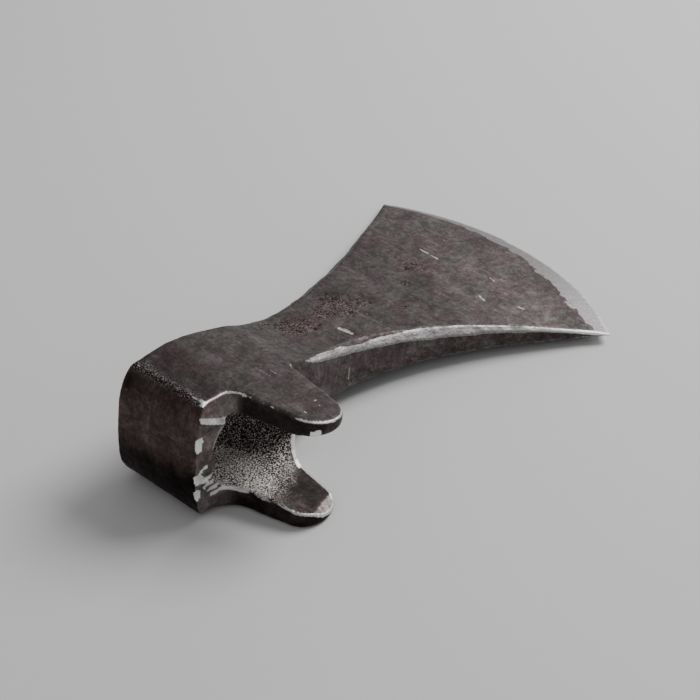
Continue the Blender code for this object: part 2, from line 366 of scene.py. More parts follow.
def web_bulge(x, y, level):
    """Where a place of the plan was before the web between the ears bulged out."""
    swell = smooth_step(x, 24, 36) * (1 - smooth_step(x, EAR_ROOT_END, NECK_PLACE))
    swell = WEB_BULGE * swell * (1 - level**2) * (1 - smooth_step(y, 8, 20))
    before_x, before_y = x, y
    for _ in range(3):
        push = swell * smooth_step(before_y, -0.45 * EAR_LENGTH, NECK_SIDE)
        before_x, before_y = x - 0.25 * push, y + push
    return before_x, before_y


def lap_height(x):
    """The lower line of the forging lap across the mouth face."""
    run = x - LAP_START[0]
    return LAP_START[1] - LAP_FALL * run + LAP_CURVE * run**2


def measure(points):
    """Every distance that the shape and its wear are made from."""
    x, y, z = points.T
    station = look_up(STATION, x, y)
    half = look_up(HALF, x, y)
    wide = look_up(CHAMFER, x, y)
    corner = 2 * (z < 0) + (y > EDGE_MIDDLE)
    wavy = np.choose(corner, [np.interp(x, ALONG, wave) for wave in CHAMFER_WAVES])
    wide = wide + CHAMFER_WAVE * wavy * np.clip(wide - SMALL_CHAMFER, 0, 1)
    level = np.clip(z / np.maximum(half - wide, 0.05), -1, 1)

    before_x, before_y = web_bulge(x, y, level)
    upper = look_up(UPPER_PLAN, before_x, before_y)
    lower = look_up(LOWER_PLAN, before_x, before_y)
    side = upper + (lower - upper) * smooth_step(-level, 0, 1)
    lap = smooth_step(z - lap_height(x), 0.0, LAP_STEP)
    hollow = (0.35 + 0.65 * smooth_step(x, -1.5, 5.0)) * (1 - smooth_step(x, 10.5, 15.5))
    side = side + LAP_DEPTH * lap * hollow * (1 - smooth_step(y, 4, 9))

    across = np.clip(y / POLL_WIDTH, 0, 1)
    crown = POLL_CROWN_NEAR + (POLL_CROWN_FAR - POLL_CROWN_NEAR) * across
    poll = -(x + crown * (1 - np.abs(level) ** CROWN_POWER))
    front = np.hypot(x - HEAD_LENGTH + EDGE_RADIUS, y - EDGE_MIDDLE) - EDGE_RADIUS
    front = front + EDGE_CHIP * smooth_step(np.interp(y, ALONG, EDGE_CHIPS), 0.25, 0.9)
    sheet = np.abs(z) - half

    wall = soft_max(side, poll, POLL_ROUND)
    wall = soft_max(wall, front, EDGE_ROUND)
    slope = (wall + sheet + wide) / math.sqrt(2)
    worn = np.minimum(WORN_ROUND, 0.5 * half)
    iron = soft_max(soft_max(wall, sheet, worn), slope, worn)

    squarer = smooth_step(-z, 0, 9) * smooth_step(EYE_CENTRE - x, 4, 14)
    squarer = squarer * (1 - smooth_step(y, 2, 16))
    power = 2 + 1.4 * squarer
    along = np.abs(x - EYE_CENTRE) / (EYE_LENGTH / 2) + 1e-6
    up = np.abs(z) / (EYE_HEIGHT / 2) + 1e-6
    round_eye = (along**power + up**power) ** (1 / power)
    steepness = np.hypot(along / (EYE_LENGTH / 2), up / (EYE_HEIGHT / 2)) / np.hypot(along, up)
    eye = (round_eye - 1) / steepness

    half_gap = EYE_HEIGHT / 2 * (1 + GAP_FLARE * (x - EYE_CENTRE) / (EYE_HEIGHT / 2))
    aside = np.abs(z) - (half_gap - GAP_RADIUS)
    above = y + GAP_DEPTH + GAP_RADIUS
    gap = np.hypot(np.maximum(aside, 0), np.maximum(above, 0))
    gap = gap + np.minimum(np.maximum(aside, above), 0) - GAP_RADIUS
    gap = np.maximum(gap, np.maximum(EYE_CENTRE - 4 - x, x - NECK_PLACE))
    hole = soft_min(eye, gap, GAP_ROUND)

    past_tip = TIP_PLACE[1] + TIP_SLOPE * (x - TIP_PLACE[0]) - y
    flat = (TIP_STEEPNESS * past_tip - hole) / math.hypot(TIP_STEEPNESS, 1)
    flat = np.where(z < 0, flat, -9.0)
    bevelled = (iron - hole + MOUTH_BEVEL) / math.sqrt(2)
    metal = soft_max(iron, -hole, MOUTH_ROUND)
    metal = soft_max(soft_max(metal, bevelled, MOUTH_BEVEL), flat, TIP_ROUND)
    return {
        "station": station, "half": half, "wide": wide, "side": side, "wall": wall, "sheet": sheet,
        "slope": slope, "iron": iron, "hole": hole, "lap": lap, "flat": flat, "past_tip": past_tip,
        "metal": metal,
    }


def metal_at(points):
    return measure(points)["metal"]


def gradient(points, reach=0.05):
    """Which way the metal ends soonest, from the distances a little to each side."""
    columns = []
    for axis in range(3):
        shift = np.zeros(3)
        shift[axis] = reach
        columns.append((metal_at(points + shift) - metal_at(points - shift)) / (2 * reach))
    return np.stack(columns, axis=1)


# From distances to a mesh

def thickness_scale(x, y):
    """How tall the layered block is at each place, so that the thin edge gets thin layers."""
    return 1.05 * look_up(HALF, x, y) + 2.5


def sample_block():
    """The distances at every corner of a block of cells around the head."""
    xs = np.arange(-7.0, HEAD_LENGTH + 2.0, MESH_STEP)
    ys = np.arange(HEEL[1] - 2.0, TOE[1] + 2.0, MESH_STEP)
    shares = np.linspace(-1, 1, LAYERS + 1)
    x, y = np.meshgrid(xs, ys, indexing="ij")
    tall = thickness_scale(x, y)
    layers = []
    for share in shares:
        points = np.stack([x.ravel(), y.ravel(), (share * tall).ravel()], axis=1)
        layers.append(metal_at(points).reshape(x.shape))
    return xs, ys, shares, np.stack(layers, axis=2)


def net_of(values):
    """A net of four-sided faces where the values cross zero, with its knots in cell steps."""
    inside = values < 0
    size = np.array(values.shape) - 1
    corners = list(itertools.product((0, 1), repeat=3))
    count = np.zeros(size, np.int8)
    for a, b, c in corners:
        count += inside[a:size[0] + a, b:size[1] + b, c:size[2] + c]
    knots = np.argwhere((count > 0) & (count < 8))
    number = np.full(size, -1)
    number[tuple(knots.T)] = np.arange(len(knots))
    total, crossings = np.zeros((len(knots), 3)), np.zeros(len(knots))
    for corner in corners:
        for axis in range(3):
            if corner[axis]:
                continue
            other = list(corner)
            other[axis] = 1
            first = values[tuple((knots + corner).T)]
            second = values[tuple((knots + other).T)]
            crossed = (first < 0) != (second < 0)
            share = np.where(crossed, first / np.where(crossed, first - second, 1.0), 0.0)
            place = np.tile(np.array(corner, float), (len(knots), 1))
            place[:, axis] += share
            total += place * crossed[:, None]
            crossings += crossed
    faces = []
    for axis in range(3):
        u, v = (axis + 1) % 3, (axis + 2) % 3
        first = np.take(inside, range(size[axis]), axis=axis)
        second = np.take(inside, range(1, size[axis] + 1), axis=axis)
        nodes = np.argwhere(first != second)
        kept = (nodes[:, u] > 0) & (nodes[:, u] < size[u])
        kept &= (nodes[:, v] > 0) & (nodes[:, v] < size[v])
        nodes = nodes[kept]
        ring = []
        for back_u, back_v in ((1, 1), (0, 1), (0, 0), (1, 0)):
            cell = nodes.copy()
            cell[:, u] -= back_u
            cell[:, v] -= back_v
            ring.append(number[tuple(cell.T)])
        quads = np.stack(ring, axis=1)
        outward = first[tuple(nodes.T)]
        quads[~outward] = quads[~outward][:, ::-1]
        faces.append(quads)
    return knots + total / crossings[:, None], np.concatenate(faces)


def settle(points, faces):
    """Evens out the net and brings every knot onto the surface."""
    links = np.concatenate([faces[:, [a, (a + 1) % 4]] for a in range(4)])
    count = np.bincount(links.ravel(), minlength=len(points))
    for turn in range(SETTLE_TURNS + 1):
        slope = gradient(points)
        steep = np.maximum((slope**2).sum(axis=1), 0.25)
        points = points - slope * (metal_at(points) / steep)[:, None]
        if turn == SETTLE_TURNS:
            break
        middle = np.stack([
            np.bincount(links[:, 0], points[links[:, 1], axis], len(points))
            + np.bincount(links[:, 1], points[links[:, 0], axis], len(points))
            for axis in range(3)
        ], axis=1) / count[:, None]
        normal = slope / np.sqrt(steep)[:, None]
        pull = middle - points
        pull -= normal * (pull * normal).sum(axis=1)[:, None]
        free = smooth_step(look_up(HALF, points[:, 0], points[:, 1]), 0.5, 1.5)
        points = points + 0.5 * pull * free[:, None]
    return points


def head_net():
    xs, ys, shares, values = sample_block()
    knots, faces = net_of(values)
    x = np.interp(knots[:, 0], np.arange(len(xs)), xs)
    y = np.interp(knots[:, 1], np.arange(len(ys)), ys)
    z = np.interp(knots[:, 2], np.arange(len(shares)), shares) * thickness_scale(x, y)
    return settle(np.stack([x, y, z], axis=1), faces), faces


# Relief, worn marks, painted light and painted shade: in the head's own millimetres, each noise its
# own seed

# Where the cheek is pitted by rust: place in plan, radius, share of spots that are pits
PIT_FIELDS = (
    ((69.0, 27.0), 9.5, 0.90),
    ((75.5, 26.0), 8.0, 0.70),
    ((88.0, 27.5), 9.0, 0.60),
    ((97.0, 30.0), 9.5, 1.00),
    ((97.5, 24.5), 7.5, 0.80),
    ((106.0, 25.5), 8.0, 0.50),
    ((133.6, 24.8), 4.5, 0.60),
    ((147.5, 32.0), 8.5, 0.50),
    ((148.0, 40.0), 5.0, 0.45),
    ((118.0, 14.0), 7.0, 0.25),
    ((62.5, 33.0), 5.5, 0.35),
)

# Pits of three sizes: their spacing and seed, and how deep they all are
PIT_SCATTERS = ((2.6, 51), (1.7, 61), (3.6, 71))
PIT_DEPTH = 0.5

# Reddish patches on the upper cheek: place in plan, radius
RUST_PATCHES = (
    ((149.0, 27.0), 14.0),
    ((141.0, 13.0), 11.0),
    ((118.0, 14.0), 12.0),
    ((86.0, 22.0), 13.0),
    ((71.5, 23.0), 11.0),
    ((14.6, 37.0), 12.0),
    ((12.0, 21.6), 10.0),
    ((28.0, -18.0), 11.0),
    ((150.0, 60.0), 14.0),
    ((168.0, 40.0), 12.0),
)

# Nicks and scratches on the upper cheek: both ends in plan, half width, depth, how bare
NICKS = (
    ((85.0, 15.8), (85.9, 10.7), 1.5, 0.45, 1.0),
    ((162.7, 40.5), (162.4, 36.5), 0.7, 0.20, 0.9),
    ((162.3, 34.8), (162.1, 31.0), 0.7, 0.25, 1.0),
    ((151.4, 1.3), (150.0, -2.2), 0.8, 0.25, 1.0),
    ((167.2, 8.4), (166.5, 5.2), 0.7, 0.15, 0.7),
    ((157.2, -13.4), (157.8, -15.8), 0.9, 0.15, 0.8),
    ((178.0, 41.0), (178.6, 39.5), 0.8, 0.15, 0.5),
    ((17.2, 30.0), (15.7, 9.5), 0.45, 0.08, 0.3),
    ((30.8, 9.7), (31.6, -1.3), 0.5, 0.10, 0.5),
    ((33.7, 5.4), (34.2, 0.8), 0.5, 0.12, 0.5),
    ((44.0, 14.0), (42.0, 4.0), 0.45, 0.08, 0.25),
    ((52.0, 22.0), (49.0, 8.0), 0.45, 0.08, 0.25),
    ((32.3, -19.1), (32.4, -19.4), 0.9, 0.15, 0.7),
    ((31.3, -22.3), (31.4, -22.6), 0.8, 0.15, 0.6),
    ((23.6, -22.6), (23.7, -22.9), 0.8, 0.15, 0.6),
    ((110.0, 40.0), (126.0, 36.0), 0.5, 0.06, 0.12),
    ((120.0, 50.0), (150.0, 46.0), 0.5, 0.06, 0.12),
)

# Spots worn bright on the poll's corner: both ends in space, radius
CORNER_SPOTS = (
    ((-1.9, 0.0, 9.2), (-1.8, 0.0, 6.6), 3.0),
    ((-1.9, 0.0, -5.9), (-1.8, 0.0, -6.7), 3.1),
    ((-1.9, 0.0, -12.0), (-1.8, 0.0, -13.4), 2.7),
)

# Smears from those spots onto the mouth face: both ends in length and height, radius
CORNER_SMEARS = (
    ((-0.8, -3.6), (1.8, -2.6), 1.3),
    ((-0.4, -6.6), (2.2, -8.6), 2.0),
)
CORNER_DEPTH = 0.5

# Cuts across the mouth face below the worn corner: both ends in length and height
MOUTH_CUTS = (
    ((0.3, -8.2), (5.0, -7.2)),
    ((1.4, -10.9), (7.0, -9.5)),
    ((3.4, -13.2), (8.6, -12.1)),
    ((4.9, -15.3), (10.1, -14.6)),
)
CUT_RADIUS = 1.3
CUT_DEPTH = 0.35

# A scratch on the lower side of the neck: both ends in length and height, radius
NECK_SCRATCH = ((78.5, 0.9), (78.7, -3.8), 0.8)
SCRATCH_DEPTH = 0.3

# Bright blobs, part of the painted highlight on the notch's upper edge: places in plan, and their
# radius
NOTCH_BLOBS = ((13.3, -1.7), (14.8, -3.0))
BLOB_RADIUS = 1.5

# Painted glints where the poll's upper edge ends, near and far: both ends in plan, radius
NEAR_GLINT = ((1.4, 7.6), (2.2, 1.4), 0.9)
FAR_GLINT = ((-1.5, 34.5), (0.6, 33.0), 1.2)

# A bright spot under the tip of the upper ear, and a pale patch inside the lower one: both ends
# in plan, radius
UNDER_TIP = ((21.3, -29.1), (22.5, -30.0), 2.0)
EAR_PATCH = ((22.5, -17.0), (23.5, -26.0), 5.0)

# Dark shades on the upper cheek, across the blade's root and at the poll's far corner
BLADE_SHADE = ((97.7, 42.4), (110.9, 28.5), 9.0)
POLL_SHADE = ((-3.4, 33.6), 4.0)

# Width of the ground bevel along the cutting edge: height in plan, width
BEVEL_LINE = (
    (-46.0, -36.5, -29.2, -22.2, -14.5, -7.1, 0.7, 13.1, 23.6, 37.1, 55.6, 74.9),
    (8.5, 10.0, 12.1, 12.8, 10.9, 10.0, 9.0, 7.0, 6.4, 4.4, 3.2, 2.6),
)

# What the iron's finish reads at each place, from 0 to 1, painted light and shade among it
MARKS = ("bare_and_highlight", "bright", "polish", "rust", "dark", "grit", "light", "pitted", "poll", "pale")


def fade(value, start, end):
    """Falls smoothly from 1 to 0 while the value goes from start to end."""
    return 1 - smooth_step(value, start, end)


def stroke(x, y, start, end, radius):
    """1 along a stroke between two places of a plane, fading to 0 at its radius."""
    run = np.subtract(end, start)
    share = np.clip(((x - start[0]) * run[0] + (y - start[1]) * run[1]) / (run @ run), 0, 1)
    away = np.hypot(x - start[0] - share * run[0], y - start[1] - share * run[1])
    return fade(away, 0, radius)


def dab(points, start, end, radius):
    """1 along a stroke between two places in space, fading to 0 at its radius."""
    run = np.subtract(end, start)
    share = np.clip((points - start) @ run / (run @ run), 0, 1)
    away = np.linalg.norm(points - start - share[:, None] * run, axis=1)
    return fade(away, 0, radius)


def disc(x, y, centre, radius):
    """1 at a place of a plane, fading to 0 at its radius."""
    return fade(np.hypot(x - centre[0], y - centre[1]), 0, radius)


def near_both(first, second, width):
    """1 where two surfaces meet, fading to 0 over a width on both."""
    return fade(np.maximum(np.abs(first), np.abs(second)), 0.45 * width, width)


class WearAndPaintedLight:
    """How deep each place is pushed in, and its marks, worn iron and painted light alike, one kind
    at a time.
    """

    def __init__(self, points, normals):
        self.points = points
        self.normals = normals
        self.m = measure(points)
        self.on_sheet = fade(np.abs(self.m["sheet"]), 0.15, 0.5)
        self.in_hole = fade(np.abs(self.m["hole"]), 0.1, 0.5)
        self.on_poll = smooth_step(-normals[:, 0], 0.6, 0.85) * (points[:, 0] < 4)
        upward = smooth_step(normals[:, 2], 0.6, 0.85)
        self.cheek = upward * self.on_sheet * (1 - self.in_hole)
        self.broken = rough_noise(points, 5.0, 101, 3)
        self.depth = np.zeros(len(points))
        self.marks = {name: np.zeros(len(points)) for name in MARKS}
        self.mark("poll", self.on_poll)

    def mark(self, name, amount):
        """Raises a mark to this amount wherever it is lower."""
        self.marks[name] = np.maximum(self.marks[name], amount)

    def bare_and_highlight(self, amount, shine):
        """Bare iron, partly standing for painted highlights, and how much of it shines."""
        self.mark("bare_and_highlight", amount)
        self.mark("bright", shine * amount)


def hammered(w):
    """The low unevenness that forging left, with shallow dents."""
    thick = smooth_step(w.m["half"], 0.3, 2.5)
    swell = 0.04 + 0.20 * rough_noise(w.points, 23.0, 31, 2)
    w.depth += swell * thick * (1 - 0.7 * w.on_poll)
    spot, _ = cells(w.points, 11.0, 41)
    w.depth += 0.14 * np.exp(-((spot / 0.42) ** 2)) * thick * (1 - w.in_hole)
    w.depth += 0.06 * rough_noise(w.points, 3.4, 43, 2) * thick


def rust_pits(w):
    """Pits in their fields on the upper cheek; gives back where they are."""
    x, y, _ = w.points.T
    fields = np.zeros(len(x))
    for centre, radius, share in PIT_FIELDS:
        fields = np.maximum(fields, share * disc(x, y, centre, radius))
    fields *= w.cheek
    pits = np.zeros(len(x))
    for spacing, seed in PIT_SCATTERS:
        spot, number = cells(w.points, spacing, seed)
        pits = np.maximum(pits, fade(spot, 0.08, 0.36) * (number < 0.7 * fields))
    w.depth += PIT_DEPTH * pits
    w.mark("pitted", fields)
    return pits


def poll_strip(w):
    """The rough strip along the poll's upper edge; gives back where it is."""
    x, y, z = w.points.T
    inland = x - 0.05 * y + 1.3 * rough_noise(w.points, 4.0, 81, 2)
    strip = w.on_sheet * (z > 0) * fade(inland, 0.6, 4.2) * fade(y, 33.5, 36.5)
    corner = near_both(w.m["wall"], w.m["sheet"], 1.8) * (x < 2) * (z > 0)
    strip = np.maximum(strip, corner)
    w.depth += strip * (0.12 + 0.20 * rough_noise(w.points, 1.9, 83, 2))
    return strip


def eye_wall(w):
    """The grainy wall of the eye; gives back its grainy share and the smoother one on the ears."""
    x, y, z = w.points.T
    past = 0.61 * (x - 38.3) - 6.0 - y + 3.5 * rough_noise(w.points, 7.0, 87, 2)
    smoother = smooth_step(past, -4.0, 5.5) * (z < 0)
    smoother = np.maximum(smoother, smooth_step(-y, 7, 14) * (z > 0))
    granular = w.in_hole * (1 - smoother)
    w.depth += granular * (0.20 + 0.20 * rough_noise(w.points, 3.0, 91, 2))
    spot, number = cells(w.points, 2.3, 95)
    w.depth += granular * 0.30 * fade(spot, 0.15, 0.5) * (number < 0.5)

    # Lighter grains low in the eye near its mouth, where the wall faces up, fading deeper in: clean
    # iron, and partly painted light
    deep = y + 1.76 * (x - 28) + 3.0 * w.broken
    light = w.in_hole * fade(deep, 12, 19) * smooth_step(-z, -8, 2)
    light *= 1 - 0.65 * smooth_step(x - 0.5 * y + 3 * w.broken, 21, 34)
    light *= 0.95 + 0.40 * rough_noise(w.points, 8.0, 131, 2)
    w.mark("light", light)
    return granular, smoother


def nicked(w):
    """Nicks and scratches on the upper cheek."""
    x, y, _ = w.points.T
    for start, end, radius, depth, bareness in NICKS:
        nick = stroke(x, y, start, end, radius) * w.cheek
        w.depth += depth * nick
        w.bare_and_highlight(bareness * smooth_step(nick, 0.2, 0.5), 0.6)


def worn_corner(w):
    """Bright spots on the poll's corner, and the smears, cuts and scratch on the mouth's side."""
    x, y, z = w.points.T
    spots = [dab(w.points, *spot) for spot in CORNER_SPOTS]
    smears = [stroke(x, z, *smear) * (y < 2) for smear in CORNER_SMEARS]
    worn = np.maximum.reduce(spots + smears) + 0.14 * rough_noise(w.points, 1.8, 103, 2)
    w.depth += CORNER_DEPTH * np.clip(worn, 0, 1)
    w.bare_and_highlight(smooth_step(worn, 0.2, 0.5), 1.0)
    for start, end in MOUTH_CUTS:
        cut = stroke(x, z, start, end, CUT_RADIUS) * (y < 1.5)
        w.depth += CUT_DEPTH * cut
        w.bare_and_highlight(smooth_step(cut, 0.2, 0.5), 1.0)
    scratch = stroke(x, z, *NECK_SCRATCH) * (y < 8)
    w.depth += SCRATCH_DEPTH * scratch
    w.mark("bare_and_highlight", 0.8 * smooth_step(scratch, 0.3, 0.6))


def long_chamfer(w):
    """Bare iron, partly a painted highlight, on the neck's long chamfer and the edge carrying on
    from it.
    """
    x, y, z = w.points.T
    wall, sheet, broken = w.m["wall"], w.m["sheet"], w.broken
    near_side = y < EDGE_MIDDLE
    on_slope = fade(np.abs(w.m["slope"]), 0.1, 0.45)
    # The chamfer's band: worn iron and a painted highlight, laid on the near side only
    band = on_slope * near_side * smooth_step(x + 2.5 * broken, 46, 62)
    bare_share = 1.02 - 0.36 * smooth_step(x, 62, 82) + 0.30 * smooth_step(x, 90, 118)
    past_band = -wall / np.maximum(w.m["wide"], 0.5) - bare_share - 0.10 * broken
    band = band * np.where(z > 0, fade(past_band, -0.08, 0.08), 1.0)
    w.mark("bare_and_highlight", np.where(z > 0, 0.85, 0.45) * band)
    upper_line = band * smooth_step(past_band, -0.30, -0.12) * (z > 0) * smooth_step(x, 58, 70)
    w.mark("bright", 0.45 * upper_line * smooth_step(broken, -0.5, 0.5))

    # The edge carrying on from the chamfer: worn iron, and partly a painted highlight
    edge_line = near_both(wall, sheet, 1.7) * near_side * (z > 0) * smooth_step(x, 48, 60)
    edge_line *= 0.75 + 0.35 * smooth_step(broken, -0.5, 0.3)
    w.bare_and_highlight(edge_line, 0.7)
    # A faint light line on every edge: worn iron, and partly painted glints
    rim = near_both(wall, sheet, 1.0) * (1 - w.in_hole)
    w.mark("bare_and_highlight", 0.3 * rim * smooth_step(broken, -0.2, 0.5) * (x > 4))


def notch_edge(w):
    """The bright line on the notch's and ear's upper edge, worn iron and painted highlight, with
    blobs and glints.
    """
    x, y, z = w.points.T
    # Worn iron along the upper edge, and partly a painted highlight
    line = near_both(w.m["wall"], w.m["sheet"], 1.12) * (1 - w.in_hole)
    line = line * (z > 0) * (x > -1) * (x < 45) * (y < 3)
    strong = np.maximum(fade(x - 0.5 * y, 16, 19), smooth_step(-y, 21, 25))
    line = line * np.maximum(strong, 0.9 * smooth_step(w.broken, -0.3, 0.3))
    for blob in NOTCH_BLOBS:
        line = np.maximum(line, smooth_step(disc(x, y, blob, BLOB_RADIUS), 0.2, 0.6) * (z > 21.5))
    w.bare_and_highlight(line, 1.0)
    # Painted glints at the ends of the poll's upper edge, laid as bright bare iron
    near_glint = stroke(x, y, *NEAR_GLINT) * w.cheek * smooth_step(w.broken, -0.8, 0.0)
    far_glint = stroke(x, y, *FAR_GLINT) * w.cheek
    for glint in (near_glint, far_glint):
        w.bare_and_highlight(smooth_step(glint, 0.25, 0.6), 0.5)


def tip_flat(w):
    """1 on the slanted flat inside the tip of the lower ear."""
    on_flat = fade(np.abs(w.m["flat"]), 0.2, 0.6)
    return smooth_step(w.m["past_tip"], -0.1, 0.3) * on_flat * (w.points[:, 2] < 0)


def worn_rims_and_lap_highlight(w):
    """Bare iron on the web between the ears, the eye's mouth and the ears' rims, and a painted
    highlight on the lap.
    """
    x, y, z = w.points.T
    iron, hole, broken = w.m["iron"], w.m["hole"], w.broken
    on_side = np.abs(w.m["side"]) < 0.6
    # The lap's ledge faces up: its bright bare iron is a painted highlight
    lap = smooth_step(w.m["lap"], 0.03, 0.15) * fade(w.m["lap"], 0.85, 0.99)
    lap = lap * on_side * (y < 3) * fade(x, 11.5, 13.5) * (1 - w.on_poll)
    w.bare_and_highlight(lap, 0.8)

    web = fade(np.abs(hole), 1.0, 1.8) * fade(-iron, 1.2, 2.0)
    web = np.maximum(web, fade(-iron, 2.0, 3.0) * w.in_hole)
    w.bare_and_highlight(web * (x > 38) * (y > -9) * (y < 6) * (np.abs(z) < 19), 1.0)

    far_side = fade(-iron, 1.0, 1.9) * fade(np.abs(hole), 0.5, 1.0)
    far_side = far_side * (x > 33) * (y < -6) * (z < 0)
    tip = near_both(iron, w.m["flat"], 0.9) * (w.m["past_tip"] > 0)
    lower = np.where(y < -18, near_both(iron, hole, 1.1), near_both(iron, hole, 1.7))
    lower = np.maximum(lower, np.maximum(far_side, tip))
    dim = smooth_step(-y, 6.5, 8.5) * fade(-y, 20, 23) * (x < 30)
    dim = dim * (0.45 + 0.4 * smooth_step(-broken, -0.3, 0.4))
    w.bare_and_highlight(lower * (z < -8) * (x > 9) * (y < 4) * (1 - dim), 0.8)

    mouth = near_both(iron, hole, 2.6) * (x < 12) * (y > -2) * (y < 3)
    w.bare_and_highlight(mouth * np.where((z > 3.5) & (z < 11), 0.62, 0.3), 0.5)

    under = stroke(x, y, *UNDER_TIP) * fade(hole, 1.2, 3.2) * (z > 0)
    under = smooth_step(under + 0.12 * broken, 0.2, 0.45) * (w.normals[:, 2] < 0.5)
    w.bare_and_highlight(under, 0.9)


def ground_bevel(w):
    """Ground bevel: ragged inner line, painted reflection towards the heel, thin bright line of the
    edge.
    """
    y, station = w.points[:, 1], w.m["station"]
    width = np.interp(y, *BEVEL_LINE)
    width = width * (1 + 0.17 * rough_noise(w.points * [1, 1, 0], 4.0, 111, 3))
    soft = np.clip(0.15 * width, 0.5, 1.5)
    w.mark("polish", smooth_step((station - HEAD_LENGTH + width) / soft, -1.0, 1.0) * w.on_sheet)
    # The thin bright line along the cutting edge: a honed edge, and partly a painted highlight
    last = station - HEAD_LENGTH + 0.9 + 0.3 * w.broken
    w.mark("polish", smooth_step(last, -0.6, 0.4))
    # Painted reflection: the bevel lighter towards the heel
    w.mark("bright", smooth_step(-y, -12, 36) * smooth_step(station, 180, 186))
    w.mark("bare_and_highlight", 0.75 * smooth_step(last, -0.2, 0.3))


def lap_hollow(w):
    """1 in the hollow above the forging lap of the mouth face."""
    x, y, z = w.points.T
    hollow = smooth_step(w.m["lap"], 0.85, 0.99) * (np.abs(w.m["side"]) < 0.6)
    return hollow * (y < 4) * (z > 10) * fade(x + 1.5 * w.broken, 8.5, 14.5)


def reddened(w, pits, hollow):
    """Reddish patches, pits and hidden sides."""
    x, y, _ = w.points.T
    patches = np.zeros(len(x))
    for centre, radius in RUST_PATCHES:
        patches = np.maximum(patches, disc(x, y, centre, radius))
    spread = 0.35 * (1 - w.cheek) * smooth_step(w.broken, -0.2, 0.6)
    w.mark("rust", patches * w.cheek + 0.5 * pits + spread)
    w.mark("rust", 0.5 * hollow)


def darkened(w, pits, strip, smoother, flat):
    """Partly painted shade low on the poll, painted shade on the ears' walls, darker pits and flank.
    """
    x, y, z = w.points.T
    outside, upright, broken = 1 - w.in_hole, np.abs(w.normals[:, 2]), w.broken
    # Darker towards the poll's bottom: partly dark oxide, partly painted shade by the floor
    low = smooth_step(-z + 3 * rough_noise(w.points, 12.0, 121, 2), -1, 9)
    w.mark("dark", w.on_poll * (0.30 + 0.70 * low))
    # Painted shadow on the lower ear's outer wall
    lower_ear = (z < -8) * outside * (upright < 0.7) * (x < 46) * smooth_step(-y, 0, 7)
    w.mark("dark", 0.9 * lower_ear * (1 - flat))
    w.mark("dark", 0.62 * strip)
    # Painted shade on the upper ear's outer wall, under its rim
    upper_ear = outside * (1 - upright) * smooth_step(x, 12, 17) * (x < 45) * (y < 0) * (z > 0)
    w.mark("dark", 0.75 * smooth_step(upper_ear, 0.3, 0.8) * fade(x, 30, 38))
    w.mark("dark", 0.9 * pits)
    w.mark("dark", 0.35 * stroke(x, y, *BLADE_SHADE) * w.cheek)
    # Painted shade: the cheek darker towards the poll
    w.mark("dark", 0.38 * w.cheek * fade(x + 5 * broken, 6, 24))
    w.mark("dark", 0.8 * disc(x, y, *POLL_SHADE) * (z > 15))
    w.mark("dark", 0.45 * w.in_hole * smoother * (1 - flat))
    flank = (1 - w.cheek) * (1 - w.on_poll) * outside * (x > 50) * (y < EDGE_MIDDLE)
    shade = 0.25 * smooth_step(broken, -0.2, 0.5) + 0.25 * smooth_step(x, 100, 150)
    w.mark("dark", flank * shade)


def paled(w, hollow, flat):
    """Painted light on the blade and the mouth face; paler in the lap's hollow and inside the lower
    ear.
    """
    x, y, z = w.points.T
    # Painted light: the cheek paler towards the blade's far end
    blade = 0.42 * w.cheek * smooth_step(x - 0.45 * y + 6 * w.broken, 126, 168)
    w.mark("pale", blade * (1 - 0.5 * smooth_step(w.m["station"], 172, 188)))
    w.mark("pale", 0.75 * hollow)
    w.mark("pale", 0.55 * stroke(x, y, *EAR_PATCH) * w.in_hole * (z < 0))
    # Painted light on the mouth face
    mouth = (y < 1.5) * (x < 12) * (z < 12) * (1 - w.in_hole) * (1 - w.on_poll)
    w.mark("pale", 0.35 * mouth)
    w.mark("pale", 0.95 * flat)


def wear_and_painted_light(points, normals):
    """How deep each place is pushed in, and the marks that the iron's finish reads, painted light
    among them.
    """
    w = WearAndPaintedLight(points, normals)
    hammered(w)
    pits = rust_pits(w)
    strip = poll_strip(w)
    granular, smoother = eye_wall(w)
    nicked(w)
    worn_corner(w)
    long_chamfer(w)
    notch_edge(w)
    worn_rims_and_lap_highlight(w)
    ground_bevel(w)
    hollow = lap_hollow(w)
    flat = tip_flat(w)
    reddened(w, pits, hollow)
    darkened(w, pits, strip, smoother, flat)
    paled(w, hollow, flat)
    w.mark("grit", np.clip(granular + 0.36 * strip, 0, 1))
    return w.depth, w.marks


# The object and its place in the row frame

def lay_down(points):
    """Tips the head blade down until its edge touches, with the origin under its middle."""
    tip = math.atan2((POLL_THICKNESS - EDGE_THICKNESS) / 2, HEAD_LENGTH - CHEEK_FLAT)
    turn = np.array([
        [math.cos(tip), 0.0, math.sin(tip)],
        [0.0, 1.0, 0.0],
        [-math.sin(tip), 0.0, math.cos(tip)],
    ])
    return points / MM_PER_METRE @ turn.T + REST_PLACE


def make_mesh(points, faces, marks):
    mesh = bpy.data.meshes.new("forged_head")
    mesh.vertices.add(len(points))
    mesh.vertices.foreach_set("co", points.ravel())
    mesh.loops.add(faces.size)
    mesh.loops.foreach_set("vertex_index", faces.ravel())
    mesh.polygons.add(len(faces))
    mesh.polygons.foreach_set("loop_start", np.arange(0, faces.size, 4))
    mesh.update(calc_edges=True)
    mesh.shade_smooth()
    for name, values in marks.items():
        layer = mesh.attributes.new(name, "FLOAT", "POINT")
        layer.data.foreach_set("value", np.clip(values, 0, 1).astype(np.float32))
    return mesh


